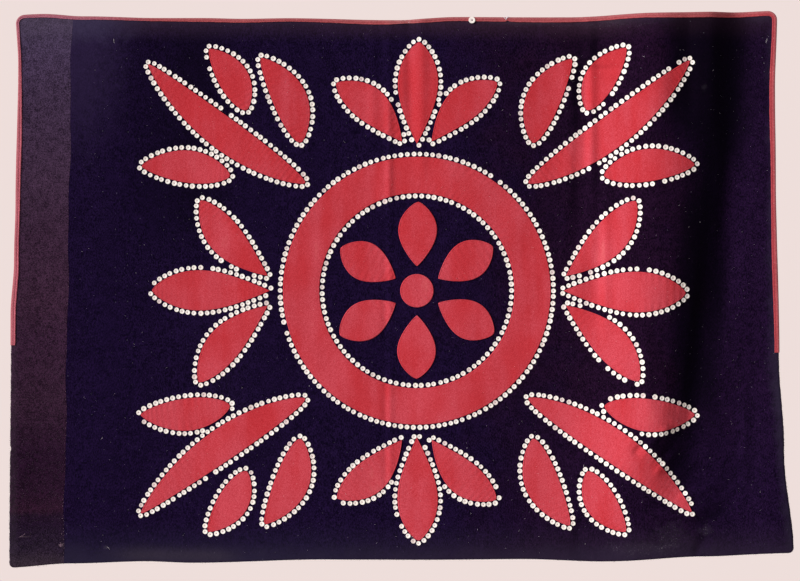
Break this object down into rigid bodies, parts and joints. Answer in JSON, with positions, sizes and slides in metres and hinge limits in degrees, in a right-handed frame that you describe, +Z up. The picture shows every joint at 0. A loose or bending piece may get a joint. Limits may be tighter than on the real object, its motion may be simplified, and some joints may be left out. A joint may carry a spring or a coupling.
{
  "type": "button blanket",
  "caption": "Wool blanket hung flat from its top edge, with soft folds, a narrow side panel, a folded red binding and red leaf shapes sewn to its front.",
  "frame": {"origin": "middle of the top edge, on the plane that the blanket's back hangs against", "axes": "+X along the top edge to the viewer's right, +Z up, front face looks along -Y"},
  "size_m": [1.7825, 0.0479, 1.2665],
  "materials": {
    "navy_wool": "matt fulled wool, almost black blue",
    "brown_black_wool": "matt, fuzzier brown-black wool",
    "binding_wool": "matt wool, faded red",
    "red_wool": "matt wool, bright red"
  },
  "bodies": {
    "root": {"main_panel": "navy_wool", "side_panel": "brown_black_wool", "edge_binding": "binding_wool", "medallion_ring": "red_wool", "medallion_disc": "red_wool", "medallion_petal_1": "red_wool", "medallion_petal_2": "red_wool", "medallion_petal_3": "red_wool", "medallion_petal_4": "red_wool", "medallion_petal_5": "red_wool", "medallion_petal_6": "red_wool", "palmette_right_1": "red_wool", "palmette_right_2": "red_wool", "palmette_right_3": "red_wool", "palmette_top_1": "red_wool", "palmette_top_2": "red_wool", "palmette_top_3": "red_wool", "palmette_left_1": "red_wool", "palmette_left_2": "red_wool", "palmette_left_3": "red_wool", "palmette_bottom_1": "red_wool", "palmette_bottom_2": "red_wool", "palmette_bottom_3": "red_wool", "spray_upper_right_1": "red_wool", "spray_upper_right_2": "red_wool", "spray_upper_right_3": "red_wool", "spray_upper_right_4": "red_wool", "spray_lower_right_1": "red_wool", "spray_lower_right_2": "red_wool", "spray_lower_right_3": "red_wool", "spray_lower_right_4": "red_wool", "spray_upper_left_1": "red_wool", "spray_upper_left_2": "red_wool", "spray_upper_left_3": "red_wool", "spray_upper_left_4": "red_wool", "spray_lower_left_1": "red_wool", "spray_lower_left_2": "red_wool", "spray_lower_left_3": "red_wool", "spray_lower_left_4": "red_wool"}
  },
  "joints": []
}
